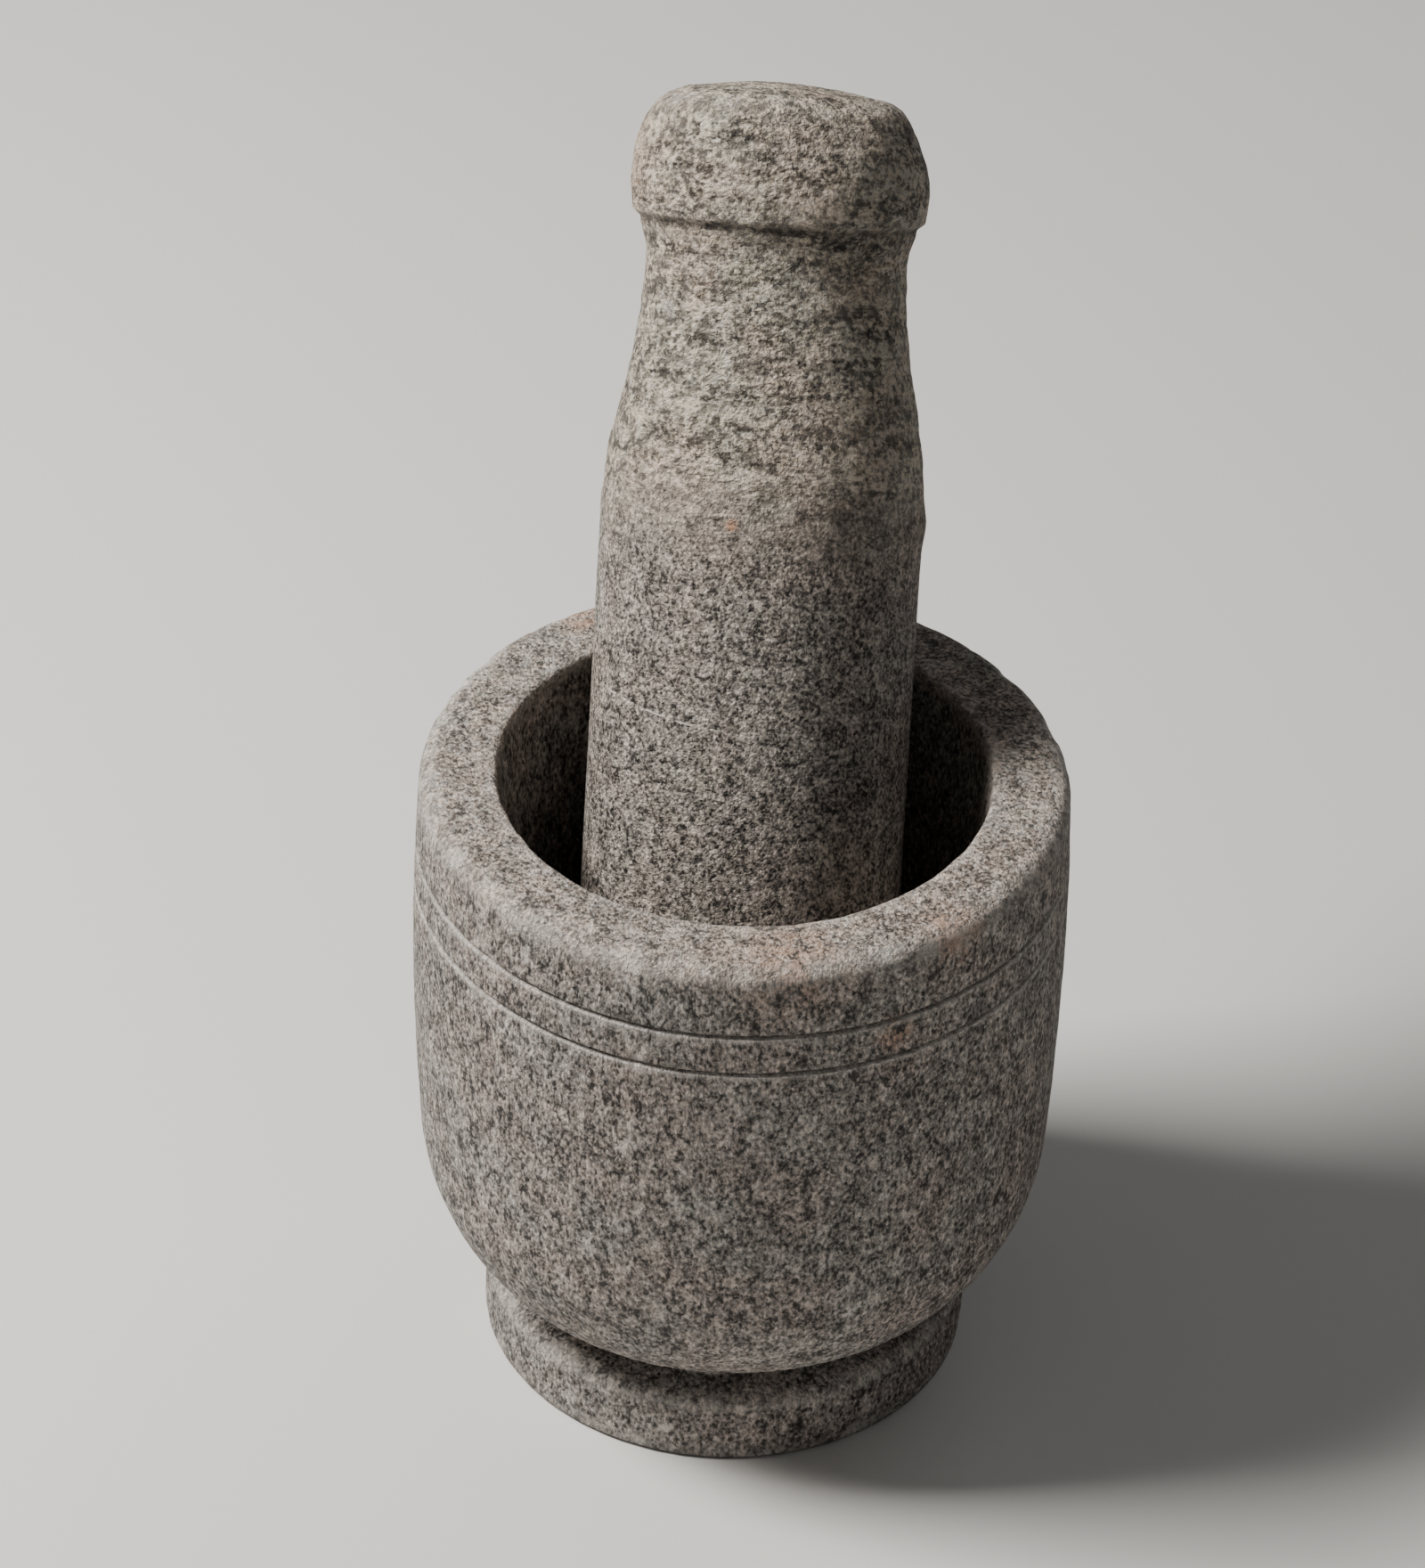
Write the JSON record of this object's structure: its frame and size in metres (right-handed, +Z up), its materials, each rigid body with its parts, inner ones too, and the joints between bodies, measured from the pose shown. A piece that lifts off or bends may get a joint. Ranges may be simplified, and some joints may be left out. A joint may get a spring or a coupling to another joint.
{
  "type": "mortar and pestle",
  "caption": "Turned granite mortar, a deep straight-sided bowl on a short ring foot with scribed lines, and a round-ended granite pestle leaning in it.",
  "frame": {"origin": "centre of the mortar foot's flat underside", "axes": "+Z up out of the bowl's mouth, +Y the way the pestle leans"},
  "size_m": [0.1212, 0.1453, 0.2407],
  "materials": {
    "mortar_granite": "fine-grained grey granite, ground matt, with faint turning lines",
    "pestle_granite": "lighter speckled grey and cream granite, coarser on the grip and smoother on the club"
  },
  "bodies": {
    "mortar_body": {"mortar": "mortar_granite"},
    "pestle_body": {"pestle": "pestle_granite"}
  },
  "joints": [
    {"name": "pestle_lift", "type": "slide", "parent": "mortar_body", "child": "pestle_body", "axis": [0, 0.4617, 0.887], "range_m": [0, 0.1]}
  ]
}
